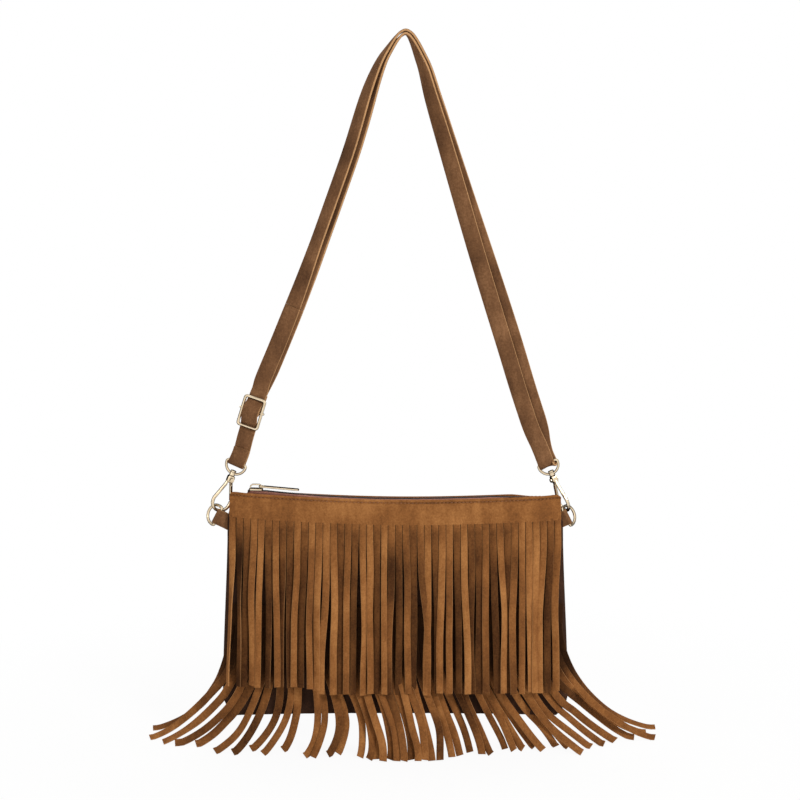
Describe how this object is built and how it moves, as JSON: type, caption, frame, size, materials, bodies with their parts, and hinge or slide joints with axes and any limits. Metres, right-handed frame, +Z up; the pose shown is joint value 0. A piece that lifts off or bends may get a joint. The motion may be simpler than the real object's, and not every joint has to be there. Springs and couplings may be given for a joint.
{
  "type": "fringed suede bag",
  "caption": "Flat zipped suede shoulder bag with two tiers of cut fringe over its front, an adjustable doubled strap and swivel snap hooks on D-rings.",
  "frame": {"origin": "underside of the strap at its highest point, where something holds the bag up", "axes": "+X to the wearer's right seen from the front of the bag, -Y towards the fringed front, +Z up along the hanging bag"},
  "size_m": [0.394, 0.0883, 0.5618],
  "materials": {
    "suede": "brushed suede with a soft nap, brown with warm highlights",
    "suede_dark": "brushed suede in the shade of the fringe",
    "strap_suede": "worn suede webbing with stitched edges",
    "zip_tape": "woven polyester tape",
    "zip_coil": "dark moulded nylon coil",
    "gold": "polished pale champagne gold plating",
    "lining": "plain woven cotton"
  },
  "bodies": {
    "bag": {"front_panel": "suede_dark", "back_panel": "suede", "lining": "lining", "upper_fringe": "suede", "lower_fringe": "suede", "ring_tab_left": "suede", "ring_tab_right": "suede", "zip_tape_front": "zip_tape", "zip_tape_back": "zip_tape", "zip_coil_front": "zip_coil", "zip_coil_back": "zip_coil", "zip_end_stop": "gold", "strap": "strap_suede", "strap_adjusting_run": "strap_suede"},
    "zip_slider": {"zip_slider": "gold"},
    "zip_pull": {"zip_pull": "gold"},
    "strap_adjuster": {"strap_adjuster": "gold", "strap_return": "strap_suede"},
    "swivel_eye_left": {"swivel_eye_left": "gold"},
    "hook_left": {"hook_left": "gold", "gate_rivet_left": "gold"},
    "hook_gate_left": {"hook_gate_left": "gold"},
    "d_ring_left": {"d_ring_left": "gold"},
    "swivel_eye_right": {"swivel_eye_right": "gold"},
    "hook_right": {"hook_right": "gold", "gate_rivet_right": "gold"},
    "hook_gate_right": {"hook_gate_right": "gold"},
    "d_ring_right": {"d_ring_right": "gold"}
  },
  "joints": [
    {"name": "zip_slide", "type": "slide", "parent": "bag", "child": "zip_slider", "axis": [0.9997, 0, -0.0257], "range_m": [0, 0.195], "deforming": ["zip_coil_front", "zip_coil_back", "zip_tape_front", "zip_tape_back"]},
    {"name": "zip_pull_swing", "type": "hinge", "parent": "zip_slider", "child": "zip_pull", "pos_m": [-0.11399, 0, -0.34736], "axis": [0, -1, 0], "range_deg": [0, 110]},
    {"name": "adjuster_slide", "type": "slide", "parent": "bag", "child": "strap_adjuster", "axis": [0.2983, -0.0273, 0.9541], "range_m": [0, 0.05], "deforming": ["strap_adjusting_run", "strap_return"]},
    {"name": "swivel_eye_left_tilt", "type": "hinge", "parent": "bag", "child": "swivel_eye_left", "pos_m": [-0.1316, 0.00471, -0.3293], "axis": [0.9131, -0.1736, -0.3689], "range_deg": [-2, 0]},
    {"name": "hook_left_swivel", "type": "hinge", "parent": "swivel_eye_left", "child": "hook_left", "pos_m": [-0.1316, 0.00471, -0.3293], "axis": [0.3746, 0, 0.9272], "range_deg": [-4, 25]},
    {"name": "hook_gate_left_open", "type": "hinge", "parent": "hook_left", "child": "hook_gate_left", "pos_m": [-0.13649, 0.00496, -0.34286], "axis": [-0.3918, 0.9063, 0.1583], "range_deg": [0, 22], "stiffness_Nm_per_rad": 0.01, "springref_deg": -20.05},
    {"name": "d_ring_left_swing", "type": "hinge", "parent": "bag", "child": "d_ring_left", "pos_m": [-0.14654, 0, -0.37166], "axis": [0.4648, 0, 0.8854], "range_deg": [-35, 1]},
    {"name": "swivel_eye_right_tilt", "type": "hinge", "parent": "bag", "child": "swivel_eye_right", "pos_m": [0.1119, 0.00642, -0.3297], "axis": [0.9131, -0.1736, 0.3689], "range_deg": [-2, 1]},
    {"name": "hook_right_swivel", "type": "hinge", "parent": "swivel_eye_right", "child": "hook_right", "pos_m": [0.1119, 0.00642, -0.3297], "axis": [-0.3746, 0, 0.9272], "range_deg": [-5, 12]},
    {"name": "hook_gate_right_open", "type": "hinge", "parent": "hook_right", "child": "hook_gate_right", "pos_m": [0.11706, 0.00697, -0.34315], "axis": [-0.8403, -0.4226, -0.3395], "range_deg": [0, 22], "stiffness_Nm_per_rad": 0.01, "springref_deg": -20.05},
    {"name": "d_ring_right_swing", "type": "hinge", "parent": "bag", "child": "d_ring_right", "pos_m": [0.12643, 0, -0.37208], "axis": [-0.4478, 0, 0.8942], "range_deg": [-8, 10]}
  ]
}
